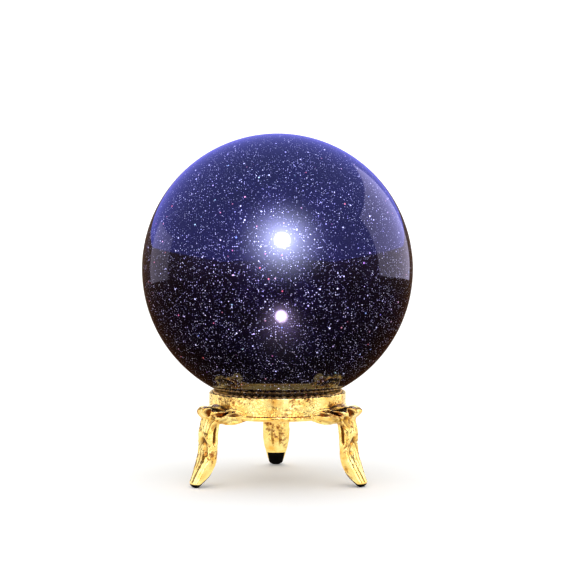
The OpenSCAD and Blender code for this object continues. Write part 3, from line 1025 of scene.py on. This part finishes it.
# %% [markdown]
# All the lamps are softboxes: glowing rectangles, whose shape shows in whatever mirrors them. A lamp
# with a bright core and a faint wide halo is a softbox too, with its brightness worked out from the
# distance to its middle.

# %% Softboxes
def softbox(name, place, target, width, height, radiance, tint="#FFFFFF", only=None):
    """A rectangular area light that faces a point. Sizes are in metres. radiance is how bright its face looks."""
    data = bpy.data.lights.new(name, "AREA")
    data.shape, data.size, data.size_y = "RECTANGLE", width, height
    data.energy, data.color = radiance * math.pi * width * height, linear(tint)[:3]
    light = bpy.data.objects.new(name, data)
    light.location = place
    light.rotation_euler = (Vector(target) - Vector(place)).to_track_quat("-Z", "Y").to_euler()
    light.visible_camera = False
    if only:
        light.light_linking.receiver_collection = only
    bpy.context.scene.collection.objects.link(light)
    return light


def fade_out(light, core, core_gain, power):
    """Makes a light brightest in a round core that fades towards its edge. core is a share of half its size."""
    light.data.use_nodes = True
    tree = light.data.node_tree
    tree.nodes.clear()
    spot = add(tree, "ShaderNodeNewGeometry").outputs["Parametric"]
    from_middle = add(tree, "ShaderNodeVectorMath", {0: spot, 1: (0.5, 0.5, 0.0)}, operation="DISTANCE")
    rest = add(tree, "ShaderNodeMapRange",
               {"Value": from_middle.outputs["Value"], "From Min": 0.5, "From Max": core / 2})
    glow = add(tree, "ShaderNodeMath", {0: rest.outputs["Result"], 1: power}, operation="POWER")
    inside = add(tree, "ShaderNodeMapRange", {"Value": from_middle.outputs["Value"], "From Min": core / 2 * 1.5,
                                              "From Max": core / 2 * 0.6, "To Max": core_gain})
    total = add(tree, "ShaderNodeMath", {0: glow.outputs["Value"], 1: inside.outputs["Result"]}, operation="ADD")
    emission = add(tree, "ShaderNodeEmission", {"Strength": total.outputs["Value"]})
    add(tree, "ShaderNodeOutputLight", {"Surface": emission.outputs[0]})


def round_the_stand(turn, rise, distance):
    """A place at an angle in degrees round the stand. rise is its height as a share of the distance."""
    return Vector((math.cos(math.radians(turn)), math.sin(math.radians(turn)), rise)) * distance


# %% [markdown]
# The sphere sees a wide soft blue ceiling with the dark room below it, one small strong lamp with its
# glint on the table, and a pale wall on each side.

# %% Lamps for the glass
middle = ball_centre
softbox("blue_ceiling", (0, 0, 1.0), middle, 12, 12, 1.5, "#6072FC", lit_glass)
key = softbox("key_lamp", (0.044, -0.853, 0.452), middle, 2.3, 2.3, 38, "#C4CBFF", lit_glass)
fade_out(key, 0.065, 4, 5.5)
glint = softbox("table_glint", (0.003, -0.103, 0.002), (0.003, -0.103, 1), 0.13, 0.24, 7, "#DCC4F2", lit_glass)
fade_out(glint, 0.10, 9, 6.5)
softbox("right_wall", (1.0, 0.55, 0.40), middle, 1.3, 0.9, 1.6, "#CFC8EC", lit_glass)
softbox("left_wall", (-1.1, 0.60, 0.18), middle, 0.7, 0.5, 0.9, "#CFC8EC", lit_glass)
print("the glass is lit from", tuple(round(value, 2) for value in key.location))

# %% [markdown]
# The gilding sees broad white softboxes all round with dark gaps between them, because gold without
# anything dark to mirror looks like yellow paint. Warm boxes above it and a pale glow from the table
# fill the tops and the undersides. Low lamps on three sides reach in under the sphere to the beads.

# %% Lamps for the metal
knee = Vector((0, 0, band_bottom * MM))
boxes = ((-118, 0.5, 2.1), (-68, 0.6, 2.2), (-18, 0.5, 2.1), (34, 0.55, 1.8), (90, 0.7, 1.4), (146, 0.4, 1.3),
         (202, 0.55, 1.9))     # degrees round the stand, width in metres, radiance
for turn, width, radiance in boxes:
    place = round_the_stand(turn, 0.26, 0.95)
    softbox(f"gilding_box_{turn}", place, knee, width, 0.6, radiance, "#FFFBEF", lit_gilding)
softbox("top_box", (0.0, -0.1, 1.0), knee, 2.2, 2.2, 1.15, "#FFD09A", lit_gilding)
softbox("front_top_box", (0.0, -0.42, 0.62), knee, 0.9, 0.22, 3.4, "#FFBE7C", lit_gilding)
softbox("table_glow", (0.0, 0.0, 0.0006), (0, 0, 1), 0.9, 0.9, 1.15, "#FFF4DE", lit_gilding)
for turn in (-90, 30, 150):
    softbox(f"bead_lamp_{turn}", round_the_stand(turn, 0.16, 0.8), knee, 0.5, 0.16, 5.5, "#FFE2BE", lit_beads)
print("lamps:", len(bpy.data.lights))
